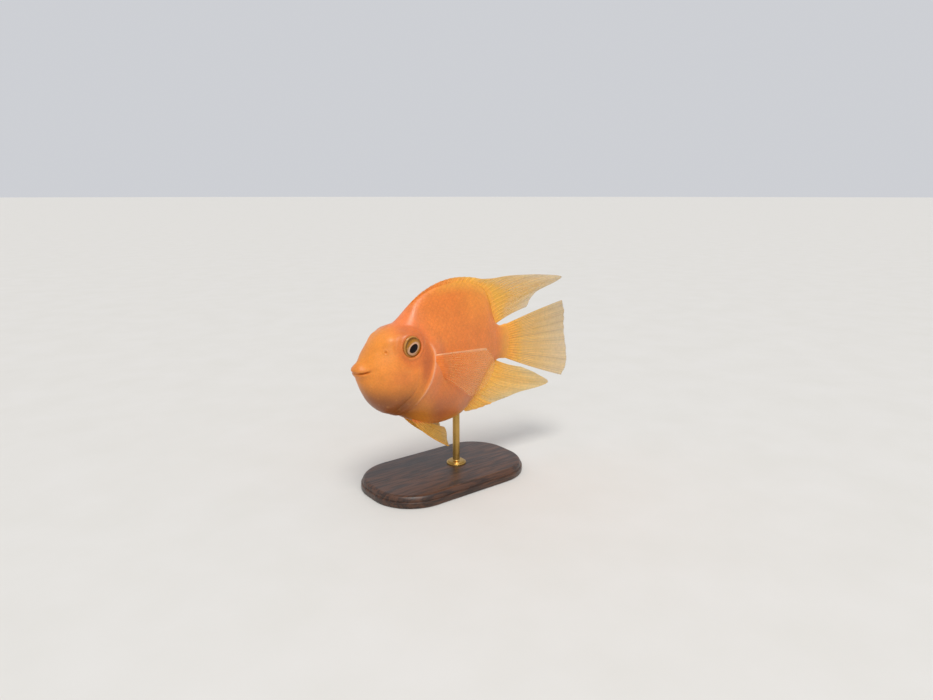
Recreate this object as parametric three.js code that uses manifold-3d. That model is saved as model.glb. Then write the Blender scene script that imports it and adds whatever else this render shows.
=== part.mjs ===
// A blood parrot cichlid, life size, as a still model on a plain display stand.
// Millimetres, +Z up. The fish faces -X with its left side towards -Y. The origin is the centre of the
// stand's underside. Inside the fish, x is measured from the snout towards the tail, and z from the
// line that runs from the mouth to the middle of the tail root.
import * as THREE from "three";
import Module from "manifold-3d";
import { mergeVertices } from "three/addons/utils/BufferGeometryUtils.js";

// Stand
const BASE_LENGTH = 120;
const BASE_WIDTH = 70;
const BASE_HEIGHT = 8;
const BASE_BEVEL = 1;
const BASE_CORNER = 30;
const ROD_RADIUS = 2.5;
const ROD_AT = 81; // along the fish, between the pelvic fins and the anal fin
const ROD_HOLE_DEPTH = 5;
const BELLY_AT_ROD = -47.6;
const ROD_IN_BODY = 8; // how far the rod goes into the belly
const FLANGE_RADIUS = 7;
const FLANGE_HEIGHT = 2;

// Fish in the stand's frame
const BASE_CENTRE_AT = 70; // the place along the fish that stands over the middle of the base
const AXIS_HEIGHT = 92; // the body's long axis above the surface that the stand rests on

// Gaps between neighbouring pieces, and fineness of the surfaces
const GAP = 0.3;
const BODY_RINGS = 38;
const BODY_SIDES = 26;
const SNOUT_FINENESS = 1.15; // more than 1 packs the rings closer together at the snout
const EYE_SIDES = 15;
const ROD_SIDES = 20;
const SMALLEST_PIECE = 1; // cubic millimetres: a cut's slivers are smaller
const BEYOND = 60; // a cutting prism reaches this far from the middle on either side

// Eyes: flattened balls that bulge from the sides of the head
const EYE_RADIUS = 7.8;
const EYE_FLATNESS = 0.72;
const EYE_AT = new THREE.Vector3(32.6, 14.2, 11.2); // y is the distance from the middle plane

// Ribs of the body from the snout to the tail root: where the section's top and bottom lie, its half
// width at mid height, how far the width sinks towards the belly (pear), how much both edges are
// pinched to a keel (pinch), and how square it is (1 is an ellipse, less is squarer).
const RIBS = [
  { top: [0.0, -2.0], bottom: [0.0, -2.0], half: 0.0, pear: 0.0, pinch: 0.0, square: 1.0 },
  { top: [2.0, 1.0], bottom: [1.3, -6.0], half: 4.4, pear: 0.0, pinch: 0.0, square: 1.0 },
  { top: [6.4, 4.8], bottom: [4.0, -12.0], half: 7.4, pear: 0.0, pinch: 0.0, square: 0.96 },
  { top: [12.0, 12.2], bottom: [7.6, -20.0], half: 11.6, pear: 0.0, pinch: 0.0, square: 0.92 },
  { top: [19.4, 19.0], bottom: [12.4, -27.6], half: 15.6, pear: 0.02, pinch: 0.0, square: 0.88 },
  { top: [27.4, 23.0], bottom: [19.4, -33.6], half: 18.6, pear: 0.04, pinch: 0.0, square: 0.87 },
  { top: [34.6, 25.8], bottom: [29.0, -37.0], half: 20.0, pear: 0.16, pinch: 0.02, square: 0.9 },
  { top: [46.0, 37.0], bottom: [41.0, -43.2], half: 20.2, pear: 0.38, pinch: 0.1, square: 1.0 },
  { top: [60.0, 43.8], bottom: [55.0, -48.8], half: 18.8, pear: 0.46, pinch: 0.18, square: 1.0 },
  { top: [76.0, 47.0], bottom: [70.0, -49.6], half: 16.4, pear: 0.44, pinch: 0.24, square: 1.0 },
  { top: [93.0, 46.2], bottom: [84.0, -47.0], half: 13.2, pear: 0.3, pinch: 0.38, square: 1.0 },
  { top: [105.5, 40.5], bottom: [95.5, -39.0], half: 10.2, pear: 0.12, pinch: 0.6, square: 1.0 },
  { top: [111.5, 28.5], bottom: [104.5, -27.0], half: 7.8, pear: 0.04, pinch: 0.6, square: 1.0 },
  { top: [115.0, 17.5], bottom: [112.0, -17.0], half: 5.8, pear: 0.0, pinch: 0.35, square: 1.0 },
  { top: [120.0, 12.6], bottom: [119.0, -13.0], half: 4.2, pear: 0.0, pinch: 0.1, square: 1.0 },
  { top: [126.0, 13.0], bottom: [126.0, -13.4], half: 2.6, pear: 0.0, pinch: 0.0, square: 1.0 },
];
const LAST_RIB = RIBS.length - 1;

const FIN_MARGIN = 0.6; // thickness of every fin at its tips
const OUTER_RAY_SLIMNESS = 0.7; // how much thinner a fin's root is at its first and last rays
const KEEL_SINK = 2; // how deep the roots of the back and belly fins start inside the flesh

// Cuts that part the flesh, drawn on the fish's side as x, z
const GILL_LINE = [
  [36, 60], [38.5, 33], [42.5, 22], [47, 14], [51.2, 4], [47.5, -12], [38.5, -25], [29, -35], [25, -60],
];
const CHEEK_LINE = [[44.5, 17.5], [42.5, 11], [39, 2], [36.8, -9], [32.5, -19], [25, -27], [23, -30.5]];
const MOUTH_LINE = [
  [-8, -3.6], [0, -3.4], [6.5, -4.2], [11, -8], [14.5, -16], [15.5, -25], [13, -34], [12, -60],
];
const TAIL_CUT_AT = 112;
const GILL_COVER_INSIDE = 12; // the gill covers' inner faces, from the middle plane
const GILL_OVERCUT = 4; // the gill covers' rear edge is drawn past the gill line, which trims it

const wasm = await Module();
wasm.setup();

// Catmull-Rom between the middle two of four numbers
function blend(a, b, c, d, f) {
  const slope0 = (c - a) / 2;
  const slope1 = (d - b) / 2;
  const square = 3 * (c - b) - 2 * slope0 - slope1;
  const cube = 2 * (b - c) + slope0 + slope1;
  return b + slope0 * f + square * f ** 2 + cube * f ** 3;
}

// Rib number i, going on past both ends: past the snout, top and bottom change places
function rib(i) {
  if (i < 0) {
    const next = RIBS[-i];
    return { ...next, top: next.bottom, bottom: next.top, half: -next.half };
  }
  if (i <= LAST_RIB) return RIBS[i];
  const [end, before] = [RIBS[LAST_RIB], RIBS[LAST_RIB - 1]];
  const on = (a, b) => 2 * a - b;
  return {
    ...end,
    top: end.top.map((v, k) => on(v, before.top[k])),
    bottom: end.bottom.map((v, k) => on(v, before.bottom[k])),
    half: on(end.half, before.half),
  };
}

// The section at u ribs from the snout
function sectionAt(u) {
  const i = Math.min(Math.floor(u), LAST_RIB - 1);
  const four = [i - 1, i, i + 1, i + 2].map(rib);
  const mix = (read) => blend(...four.map(read), u - i);
  return {
    top: [mix((r) => r.top[0]), mix((r) => r.top[1])],
    bottom: [mix((r) => r.bottom[0]), mix((r) => r.bottom[1])],
    half: mix((r) => r.half),
    pear: mix((r) => r.pear),
    pinch: mix((r) => r.pinch),
    square: mix((r) => r.square),
  };
}

// A point of the body's surface: angle 0 is the back, a quarter turn the right side, a half turn the belly
function bodyPoint(section, angle) {
  const { top, bottom, half, pear, pinch, square } = section;
  const up = Math.cos(angle);
  const out = Math.sin(angle);
  const width = half * Math.sign(out) * Math.abs(out) ** square * (1 - pear * up - pinch * up * up);
  const along = (k) => (top[k] + bottom[k]) / 2 + ((top[k] - bottom[k]) / 2) * up;
  return new THREE.Vector3(along(0), width, along(1));
}

function geometryOf(points, triangles) {
  const g = new THREE.BufferGeometry().setFromPoints(points);
  g.setIndex(triangles.flat());
  return g;
}

// A closed geometry as a manifold-3d solid
function solid(geometry) {
  const bare = geometry.clone();
  bare.deleteAttribute("normal");
  bare.deleteAttribute("uv");
  const merged = mergeVertices(bare, 1e-4);
  return new wasm.Manifold(
    new wasm.Mesh({
      numProp: 3,
      vertProperties: new Float32Array(merged.attributes.position.array),
      triVerts: new Uint32Array(merged.index.array),
    }),
  );
}

function geometryFrom(manifold) {
  const mesh = manifold.getMesh();
  const g = new THREE.BufferGeometry();
  g.setAttribute("position", new THREE.BufferAttribute(new Float32Array(mesh.vertProperties), mesh.numProp));
  g.setIndex(new THREE.BufferAttribute(new Uint32Array(mesh.triVerts), 1));
  return g;
}

// The whole body as one closed loft, or the same body grown all round by a gap
function bodySolid(grow = 0) {
  const points = [bodyPoint(sectionAt(0), 0)];
  const triangles = [];
  const at = (ring, side) => 1 + (ring - 1) * BODY_SIDES + (side % BODY_SIDES);
  for (let ring = 1; ring <= BODY_RINGS; ring++) {
    const section = sectionAt(LAST_RIB * (ring / BODY_RINGS) ** SNOUT_FINENESS);
    for (let side = 0; side < BODY_SIDES; side++) {
      points.push(bodyPoint(section, (2 * Math.PI * side) / BODY_SIDES));
    }
  }
  const end = points.push(new THREE.Vector3(RIBS[LAST_RIB].top[0], 0, 0)) - 1;
  for (let side = 0; side < BODY_SIDES; side++) {
    triangles.push([0, at(1, side), at(1, side + 1)]);
    for (let ring = 1; ring < BODY_RINGS; ring++) {
      triangles.push([at(ring, side), at(ring + 1, side + 1), at(ring, side + 1)]);
      triangles.push([at(ring, side), at(ring + 1, side), at(ring + 1, side + 1)]);
    }
    triangles.push([end, at(BODY_RINGS, side + 1), at(BODY_RINGS, side)]);
  }
  const g = geometryOf(points, triangles);
  g.computeVertexNormals();
  const { position, normal } = g.attributes;
  for (let i = 0; i < position.count; i++) {
    position.setXYZ(
      i,
      position.getX(i) + grow * normal.getX(i),
      position.getY(i) + grow * normal.getY(i),
      position.getZ(i) + grow * normal.getZ(i),
    );
  }
  return solid(g);
}

// A shape drawn on the fish's side, as a prism that runs from one y to another
function prism(shape, from = -BEYOND, to = BEYOND) {
  const g = new THREE.ExtrudeGeometry(shape, { depth: to - from, bevelEnabled: false });
  // The extrusion runs along +z of the drawing. Turned about x, that becomes -y, and the drawing's y is z.
  g.rotateX(Math.PI / 2);
  g.translate(0, to, 0);
  return solid(g);
}

function smoothLine(points, steps) {
  const line = new THREE.SplineCurve(points.map((p) => new THREE.Vector2(...p)));
  return line.getPoints(steps);
}

// A thin cut that follows a line drawn on the side
function bandShape(points, steps, width) {
  const line = smoothLine(points, steps);
  const side = (sign) =>
    line.map((p, i) => {
      const along = line[Math.min(i + 1, steps)].clone().sub(line[Math.max(i - 1, 0)]).normalize();
      return new THREE.Vector2(p.x - (sign * along.y * width) / 2, p.y + (sign * along.x * width) / 2);
    });
  return new THREE.Shape([...side(1), ...side(-1).reverse()]);
}

// The separate solids that a cut leaves, the one that reaches furthest back first
function piecesFromTail(manifold) {
  const pieces = manifold.decompose().filter((piece) => piece.volume() > SMALLEST_PIECE);
  return pieces.sort((a, b) => b.boundingBox().max[0] - a.boundingBox().max[0]);
}

// An eyeball, or the slightly larger room for it. side is -1 on the fish's left and 1 on its right.
function eyeSolid(side, grow = 0) {
  const g = new THREE.SphereGeometry(1, EYE_SIDES, EYE_SIDES * 0.6);
  g.scale(EYE_RADIUS + grow, EYE_RADIUS * EYE_FLATNESS + grow, EYE_RADIUS + grow);
  g.translate(EYE_AT.x, side * EYE_AT.y, EYE_AT.z);
  return solid(g);
}

// A fin: rays run from a base line to a tip line, bowed towards a middle line, and the plate thins from
// root to margin. Every line is given by points that are evenly shared out from the first ray to the last.
function finSolid({ base, middle, tips, root, rays, steps, sway = () => 0 }) {
  const [from, via, to] = [base, middle, tips].map((line) => {
    const places = line.map((p) => new THREE.Vector3(...p));
    return new THREE.CatmullRomCurve3(places, false, "catmullrom");
  });
  const centre = (s, r) => {
    const p = from.getPoint(s).multiplyScalar((1 - r) ** 2);
    p.addScaledVector(via.getPoint(s), 2 * r * (1 - r));
    p.addScaledVector(to.getPoint(s), r * r);
    p.y += sway(s, r);
    return p;
  };
  const inside = (v) => Math.min(Math.max(v, 0.001), 0.999);
  const normal = (s, r) => {
    const d = 0.001;
    const across = centre(inside(s) + d, r).sub(centre(inside(s) - d, r));
    const out = centre(s, inside(r) + d).sub(centre(s, inside(r) - d));
    return across.cross(out).normalize();
  };
  const points = [];
  const triangles = [];
  const at = (sheet, i, j) => sheet * (rays + 1) * (steps + 1) + i * (steps + 1) + j;
  for (const sheet of [1, -1]) {
    for (let i = 0; i <= rays; i++) {
      for (let j = 0; j <= steps; j++) {
        const [s, r] = [i / rays, j / steps];
        const full = (1 - r) ** 2 * (1 - OUTER_RAY_SLIMNESS * (2 * s - 1) ** 4);
        const half = FIN_MARGIN / 2 + ((root - FIN_MARGIN) / 2) * full;
        points.push(centre(s, r).addScaledVector(normal(s, r), sheet * half));
      }
    }
  }
  const quad = (a, b, c, d) => triangles.push([a, b, c], [a, c, d]);
  for (let i = 0; i < rays; i++) {
    for (let j = 0; j < steps; j++) {
      quad(at(0, i, j), at(0, i + 1, j), at(0, i + 1, j + 1), at(0, i, j + 1));
      quad(at(1, i, j), at(1, i, j + 1), at(1, i + 1, j + 1), at(1, i + 1, j));
    }
    quad(at(0, i, 0), at(1, i, 0), at(1, i + 1, 0), at(0, i + 1, 0));
    quad(at(0, i, steps), at(0, i + 1, steps), at(1, i + 1, steps), at(1, i, steps));
  }
  for (let j = 0; j < steps; j++) {
    quad(at(0, 0, j), at(0, 0, j + 1), at(1, 0, j + 1), at(1, 0, j));
    quad(at(0, rays, j), at(1, rays, j), at(1, rays, j + 1), at(0, rays, j + 1));
  }
  return solid(geometryOf(points, triangles));
}

// Points of the back or the belly between two ribs, sunk into the flesh, as a fin's base line
function keelLine(edge, fromRib, toRib, count, sink) {
  return Array.from({ length: count }, (_, i) => {
    const [x, z] = sectionAt(fromRib + ((toRib - fromRib) * i) / (count - 1))[edge];
    return [x, 0, z + (edge === "top" ? -sink : sink)];
  });
}

// A fin in the middle plane: its tips are x, z, and bow lifts each ray's middle. It bends sideways in
// waves from its first ray to its last, more towards the tips.
function middleFin({ tips, base, bow, root, rays, steps, wave }) {
  const ends = tips.map(([x, z]) => [x, 0, z]);
  const middle = base.map(([x, , z], i) => [(x + ends[i][0]) / 2, 0, (z + ends[i][2]) / 2 + bow[i]]);
  const sway = (s, r) => {
    const turn = Math.PI * (wave.count * s + wave.start);
    return wave.size * r * r * (s + wave.fixed) * Math.sin(turn);
  };
  return finSolid({ base, middle, tips: ends, root, rays, steps, sway });
}

function dorsalFin() {
  const tips = [
    [40, 34.5], [52, 42], [65, 47.5], [78.5, 49.8], [93, 49.2],
    [112, 46.2], [146, 46.8], [185.5, 42.5], [157, 33], [146, 23],
  ];
  const base = keelLine("top", 6.4, 13.3, tips.length, KEEL_SINK);
  const bow = [1, 1.2, 1.4, 1.4, 1.6, 3, 6, 5, 3, 2];
  const wave = { size: 3, count: 1.6, start: -0.5, fixed: 0 };
  return middleFin({ tips, base, bow, root: 4, rays: 26, steps: 5, wave });
}

function analFin() {
  const tips = [[90, -47.3], [104, -47.2], [120, -45], [141, -42], [170, -39.5], [158, -30], [142, -22]];
  const base = keelLine("bottom", 10.2, 13.5, tips.length, KEEL_SINK);
  const bow = [-1, -2, -3, -4, -5, -4, -2];
  const wave = { size: 2.5, count: 1.5, start: 0.4, fixed: 0 };
  return middleFin({ tips, base, bow, root: 4, rays: 18, steps: 5, wave });
}

function caudalFin() {
  const tips = [[185.5, 24.5], [190, 15], [191, 6], [191, -4], [190.5, -14], [188, -25], [181, -34]];
  const [top, bottom] = [11.6, -12.2];
  const base = tips.map((_, i) => [124.5, 0, top + ((bottom - top) * i) / (tips.length - 1)]);
  const bow = [1.5, 0.5, 0, 0, 0, -0.5, -1.5];
  const wave = { size: 3.5, count: 1.4, start: 0.1, fixed: 0.6 };
  return middleFin({ tips, base, bow, root: 4.4, rays: 20, steps: 6, wave });
}

// A paired fin: its lines are drawn for the right side, and shift moves what lies further out on the ray
function pairedFin({ side, base, middle, tips, root, shift }) {
  const place = (line, share) =>
    line.map(([x, y, z]) => [x + shift.back * share, side * (y + shift.out * share), z]);
  return finSolid({
    base: place(base, 0),
    middle: place(middle, 0.4),
    tips: place(tips, 1),
    root,
    rays: 9,
    steps: 6,
  });
}

function pelvicFin(side) {
  return pairedFin({
    side,
    base: [[38.5, 6.5, -39.5], [41, 6.2, -40.5], [43.5, 5.9, -41.7], [46, 5.5, -42.8], [48.5, 5, -43.8]],
    middle: [[44, 8.5, -52], [48.5, 8.2, -51], [52.5, 7.8, -50], [55.5, 7.2, -49.2], [57, 6.6, -48.4]],
    tips: [[71.5, 5.5, -68.5], [69, 6, -63.5], [68, 6.5, -59], [67.5, 6.5, -55], [66, 6, -52]],
    root: 2.4,
    shift: { back: side > 0 ? 4 : 0, out: 0 },
  });
}

function pectoralFin(side) {
  return pairedFin({
    side,
    base: [[50.5, 17.5, 3.5], [51.2, 18, 0.2], [52, 18.5, -3], [52.8, 18.8, -6.3], [53.5, 19, -9.5]],
    middle: [[67, 26, 5.5], [69, 27, 0], [69, 27.5, -6], [67, 27.5, -12], [63, 26, -17]],
    tips: [[86, 27, 5], [91.5, 29, -3], [89.5, 30, -12.5], [82.5, 29.5, -21], [72.5, 27.5, -26.5]],
    root: 1.8,
    shift: { back: 0, out: side > 0 ? 5 : 0 },
  });
}

// The stand's own shapes, in the stand's frame
function baseSolid() {
  const inner = [BASE_LENGTH / 2 - BASE_BEVEL, BASE_WIDTH / 2 - BASE_BEVEL];
  const corner = BASE_CORNER - BASE_BEVEL;
  const outline = new THREE.Shape();
  const turns = [[1, 1, 0], [-1, 1, 0.5], [-1, -1, 1], [1, -1, 1.5]];
  for (const [x, y, turn] of turns) {
    const from = turn * Math.PI;
    outline.absarc(x * (inner[0] - corner), y * (inner[1] - corner), corner, from, from + Math.PI / 2);
  }
  const plate = new THREE.ExtrudeGeometry(outline, {
    depth: BASE_HEIGHT - 2 * BASE_BEVEL,
    bevelSize: BASE_BEVEL,
    bevelThickness: BASE_BEVEL,
    bevelSegments: 2,
    curveSegments: 6,
  });
  plate.translate(0, 0, BASE_BEVEL);
  const hole = new THREE.CylinderGeometry(ROD_RADIUS + GAP, ROD_RADIUS + GAP, ROD_HOLE_DEPTH * 2, ROD_SIDES);
  hole.rotateX(Math.PI / 2);
  hole.translate(ROD_AT - BASE_CENTRE_AT, 0, BASE_HEIGHT);
  return solid(plate).subtract(solid(hole));
}

function rodSolid(topHeight) {
  const foot = BASE_HEIGHT - ROD_HOLE_DEPTH + GAP;
  const flangeTop = BASE_HEIGHT + FLANGE_HEIGHT;
  const profile = [
    [0, foot],
    [ROD_RADIUS, foot],
    [ROD_RADIUS, BASE_HEIGHT],
    [FLANGE_RADIUS, BASE_HEIGHT],
    [FLANGE_RADIUS, BASE_HEIGHT + FLANGE_HEIGHT / 2],
    [FLANGE_RADIUS - FLANGE_HEIGHT / 2, flangeTop],
    [ROD_RADIUS, flangeTop],
    [ROD_RADIUS, topHeight],
    [0, topHeight],
  ].map((p) => new THREE.Vector2(...p));
  const g = new THREE.LatheGeometry(profile, ROD_SIDES);
  g.rotateX(Math.PI / 2);
  g.translate(ROD_AT - BASE_CENTRE_AT, 0, 0);
  return solid(g);
}

// The body whole, less the rod's socket and the eye sockets, then parted by thin cuts
const rodTop = BELLY_AT_ROD + ROD_IN_BODY;
const socket = new THREE.CylinderGeometry(ROD_RADIUS + GAP, ROD_RADIUS + GAP, BEYOND, ROD_SIDES);
socket.rotateX(Math.PI / 2);
socket.translate(ROD_AT, 0, rodTop + GAP - BEYOND / 2);

let flesh = bodySolid().subtract(solid(socket));
for (const side of [-1, 1]) flesh = flesh.subtract(eyeSolid(side, GAP));

const gillCut = prism(bandShape(GILL_LINE, 24, GAP));
const tailCut = new THREE.BoxGeometry(GAP, 2 * BEYOND, 2 * BEYOND);
tailCut.translate(TAIL_CUT_AT, 0, 0);
const [tailRoot, trunk, wholeHead] = piecesFromTail(flesh.subtract(gillCut).subtract(solid(tailCut)));

// Gill covers: the flesh between the cheek line and the gill line, outside a plane on each side.
// The room cut for them in the head is larger by the gap.
function coverShape(grow) {
  const shifted = (line, by) => smoothLine(line, 12).map(({ x, y }) => new THREE.Vector2(x + by, y));
  const front = shifted(CHEEK_LINE, -grow);
  const rear = shifted(GILL_LINE.slice(3, 8), GILL_OVERCUT);
  const above = new THREE.Vector2(front[0].x, front[0].y + grow);
  const below = new THREE.Vector2(front.at(-1).x, front.at(-1).y - grow);
  return new THREE.Shape([above, ...front, below, ...rear.reverse()]);
}

function coverPrism(side, grow) {
  const inner = GILL_COVER_INSIDE - grow;
  return side < 0 ? prism(coverShape(grow), -BEYOND, -inner) : prism(coverShape(grow), inner, BEYOND);
}

const gillCovers = new Map();
let head = wholeHead;
for (const side of [-1, 1]) {
  gillCovers.set(side, piecesFromTail(wholeHead.intersect(coverPrism(side, 0)))[0]);
  head = head.subtract(coverPrism(side, GAP));
}

const jawCut = prism(bandShape(MOUTH_LINE, 16, GAP));
const [skull, lowerJaw] = piecesFromTail(head.subtract(jawCut));

const grownBody = bodySolid(GAP);
const offBody = (fin) => piecesFromTail(fin.subtract(grownBody))[0];

// Finishes
function finish(color, roughness, metalness = 0) {
  return new THREE.MeshStandardMaterial({ color, roughness, metalness });
}

const skinOrange = finish("#e8813c", 0.45);
const faceAmber = finish("#ee9a45", 0.45);
const finGold = finish("#e6b45c", 0.5);
const eyeGold = finish("#b79a3c", 0.15);
const walnut = finish("#3d2a1e", 0.5);
const brass = finish("#b08d4f", 0.35, 1);

function node(name, manifold, material) {
  const mesh = new THREE.Mesh(geometryFrom(manifold), material);
  mesh.name = name;
  return mesh;
}

const fish = new THREE.Group();
fish.position.set(-BASE_CENTRE_AT, 0, AXIS_HEIGHT);
fish.add(
  node("head", skull, faceAmber),
  node("lower_jaw", lowerJaw, faceAmber),
  node("gill_cover_left", gillCovers.get(-1), skinOrange),
  node("gill_cover_right", gillCovers.get(1), skinOrange),
  node("trunk", trunk, skinOrange),
  node("tail_root", tailRoot, skinOrange),
  node("dorsal_fin", offBody(dorsalFin()), finGold),
  node("anal_fin", offBody(analFin()), finGold),
  node("caudal_fin", offBody(caudalFin()), finGold),
);
for (const [word, side] of [["left", -1], ["right", 1]]) {
  fish.add(
    node(`pelvic_fin_${word}`, offBody(pelvicFin(side)), finGold),
    node(`pectoral_fin_${word}`, offBody(pectoralFin(side)), finGold),
    node(`eye_${word}`, eyeSolid(side), eyeGold),
  );
}

const model = new THREE.Group();
model.add(
  fish,
  node("stand_base", baseSolid(), walnut),
  node("stand_rod", rodSolid(AXIS_HEIGHT + rodTop), brass),
);

export default model;
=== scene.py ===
"""A blood parrot cichlid, life size, on a plain display stand.

Shapes are worked out in millimetres in the fish's own frame: x from the snout towards the tail, y towards
its right side, z up from the line between mouth and tail root. to_row() turns them into metres in the
row's frame.
"""

import math

import bpy
import numpy as np
from mathutils import Matrix, Vector


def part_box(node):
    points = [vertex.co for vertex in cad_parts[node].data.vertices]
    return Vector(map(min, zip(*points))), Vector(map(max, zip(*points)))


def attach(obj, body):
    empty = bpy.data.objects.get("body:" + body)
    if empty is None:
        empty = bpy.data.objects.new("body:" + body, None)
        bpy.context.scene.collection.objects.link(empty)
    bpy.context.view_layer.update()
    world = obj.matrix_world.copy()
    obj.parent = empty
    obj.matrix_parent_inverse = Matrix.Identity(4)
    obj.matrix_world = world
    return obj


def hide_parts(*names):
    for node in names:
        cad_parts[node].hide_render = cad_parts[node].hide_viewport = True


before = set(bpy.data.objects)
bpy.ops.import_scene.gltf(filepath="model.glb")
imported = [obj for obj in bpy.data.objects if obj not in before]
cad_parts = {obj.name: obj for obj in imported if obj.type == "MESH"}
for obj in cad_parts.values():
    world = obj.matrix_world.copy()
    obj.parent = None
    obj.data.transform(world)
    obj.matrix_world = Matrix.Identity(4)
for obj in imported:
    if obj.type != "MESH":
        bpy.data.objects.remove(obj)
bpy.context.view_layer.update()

# The fish in the row's frame, in millimetres
ROD_AT = 81.0
FLANGE_RADIUS = 7.0
ROD_LOW, ROD_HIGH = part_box("stand_rod")
AXIS_HEIGHT = 92.0
FISH_AT = np.array([1000 * ROD_LOW.x + FLANGE_RADIUS - ROD_AT, 0.0, AXIS_HEIGHT])

# Camera: the photo's view of the fish
IMAGE = (933, 700)
FOCAL_PIXELS = 679.0
VIEW_AZIMUTH, VIEW_ELEVATION = -38.0, 13.0
AIM = np.array([75.93, 0.0, 0.0])  # this place on the fish
AIM_PIXEL = (450.0, 350.0)  # is seen at this pixel
AIM_DEPTH = 469.0  # from this far, along the view

# Studio
FLOOR_RADIUS = 40.0  # metres
SKY_STRENGTH = 0.66
KEY_STRENGTH = 1.75  # of a lamp like a hazy sun
FILL_STRENGTH = 1.1  # watts

# Ribs of the body: the section's top x, z and bottom x, z, half width, pear, pinch and squareness
RIBS = [
    (0, -2, 0, -2, 0, 0, 0, 1),
    (2, 1, 1.3, -6, 4.4, 0, 0, 1),
    (6.4, 4.8, 4, -12, 7.4, 0, 0, 0.96),
    (12, 12.2, 7.6, -20, 11.6, 0, 0, 0.92),
    (19.4, 19, 12.4, -27.6, 15.6, 0.02, 0, 0.88),
    (27.4, 23, 19.4, -33.6, 18.6, 0.04, 0, 0.87),
    (34.6, 25.8, 29, -37, 20, 0.16, 0.02, 0.9),
    (46, 37, 41, -43.2, 20.2, 0.38, 0.1, 1),
    (60, 43.8, 55, -48.8, 18.8, 0.46, 0.18, 1),
    (76, 47, 70, -49.6, 16.4, 0.44, 0.24, 1),
    (93, 46.2, 84, -47, 13.2, 0.3, 0.38, 1),
    (105.5, 40.5, 95.5, -39, 10.2, 0.12, 0.6, 1),
    (111.5, 28.5, 104.5, -27, 7.8, 0.04, 0.6, 1),
    (115, 17.5, 112, -17, 5.8, 0, 0.35, 1),
    (120, 12.6, 119, -13, 4.2, 0, 0.1, 1),
    (126, 13, 126, -13.4, 2.6, 0, 0, 1),
]
RIBS = np.array(RIBS, float)
GILL_LINE = [(38.5, 33), (42.5, 22), (47, 14), (51.2, 4), (46.6, -11), (37.8, -24), (29, -35), (25, -42)]
CHEEK_LINE = [(44.5, 17.5), (42.5, 11), (39, 2), (36.8, -9), (32.5, -19), (25, -27), (21, -34)]

SIDES = ((-1, "left"), (1, "right"))

# Skin
RINGS_PER_RIB = [30, 30, 30, 34, 34, 34, 30, 24, 20, 20, 20, 20, 20, 17, 15]
SKIN_SIDES = 256
SCALE_COAT = 0.2  # how deep the skin lies inside the solids, for the scales to lie on it
TAIL_SLEEVE = 5.0  # how far the flesh reaches over the roots of the tail fin's rays

# Eyes
EYE = np.array([33.2, 14.5, 11.2])  # centre of the right eyeball
EYE_RADIUS = 7.8
EYE_FLATNESS = 0.72
EYE_RIM = 6.7  # radius of the hole in the skin
EYE_RIM_OUT = 17.65  # how far the rim lies from the middle plane
EYE_SIDES, EYE_RINGS = 192, 112

# Nostrils, and the pores of the jaw, the cheek bone and the ring under the eye, in side view
NOSTRIL = (17.0, 9.0)
PORES = [(15, -22), (19, -26), (24, -27), (28.5, -22), (32, -14), (34.5, -6), (36, 2)]
PORES += [(14, -1), (19, 1.5), (24, 1), (29, 1.2), (13, 8.5)]

# Scales
SCALE_PITCH = (4.2, 2.65)  # along and across the rows, on the flank
SCALE_LENGTH = 1.8  # in pitches
SCALE_HEIGHT = 0.13  # of the free edge over the skin
SCALE_RISE = 0.03  # slope from the root to the free edge
SCALE_THICKNESS = 0.09
SCALE_MESH = (7, 13)  # points along and across
SCALES_PART_AT = 72.0  # where the front piece of scales ends, along the side
LATERAL_LINE = 11.0  # height of the scales that carry its tubes
BAKE_PATCH = 0.003  # size of a scale on the unwrap


# Small maths


def smooth(low, high, value):
    t = np.clip((value - low) / (high - low), 0.0, 1.0)
    return t * t * (3 - 2 * t)


def fall(low, high, value):
    return 1 - smooth(low, high, value)


def full_turn(count):
    return np.arange(count) / count * 2 * math.pi


def hill(value, width):
    return np.exp(-((value / width) ** 2))


def mix(a, b, share):
    return a + (b - a) * share


def along(table, place):
    """Catmull-Rom values at places along a table's rows. The first and last rows only guide the curve."""
    i = np.clip(place.astype(int), 0, len(table) - 4)
    f = (place - i)[..., None]
    p0, p1, p2, p3 = (table[i + k] for k in range(4))
    slope0, slope1 = (p2 - p0) / 2, (p3 - p1) / 2
    square = 3 * (p2 - p1) - 2 * slope0 - slope1
    cube = 2 * (p1 - p2) + slope0 + slope1
    return p1 + slope0 * f + square * f**2 + cube * f**3


def spline(points, t):
    """Points at shares t along a curve through evenly shared points."""
    p = np.asarray(points, float)
    p = np.vstack([2 * p[0] - p[1], p, 2 * p[-1] - p[-2]])
    return along(p, np.asarray(t, float) * (len(p) - 3))


def to_row(points):
    """Millimetres in the fish's frame to metres in the row's frame."""
    return (np.asarray(points, float) + FISH_AT) / 1000


def line_distance(x, z, line, steps=60):
    """Signed distance in side view from a line, positive on its tail side, and the share along it."""
    p = spline(line, np.linspace(0, 1, steps + 1))
    best = np.full(x.shape, 1e9)
    side = np.zeros(x.shape)
    share = np.zeros(x.shape)
    for k in range(steps):
        a, d = p[k], p[k + 1] - p[k]
        t = np.clip(((x - a[0]) * d[0] + (z - a[1]) * d[1]) / (d @ d), 0, 1)
        ex = x - a[0] - t * d[0]
        ez = z - a[1] - t * d[1]
        far = np.hypot(ex, ez)
        near = far < best
        best = np.where(near, far, best)
        side = np.where(near, np.sign(ez * d[0] - ex * d[1]), side)
        share = np.where(near, (k + t) / steps, share)
    return best * side, share


# Body


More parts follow.
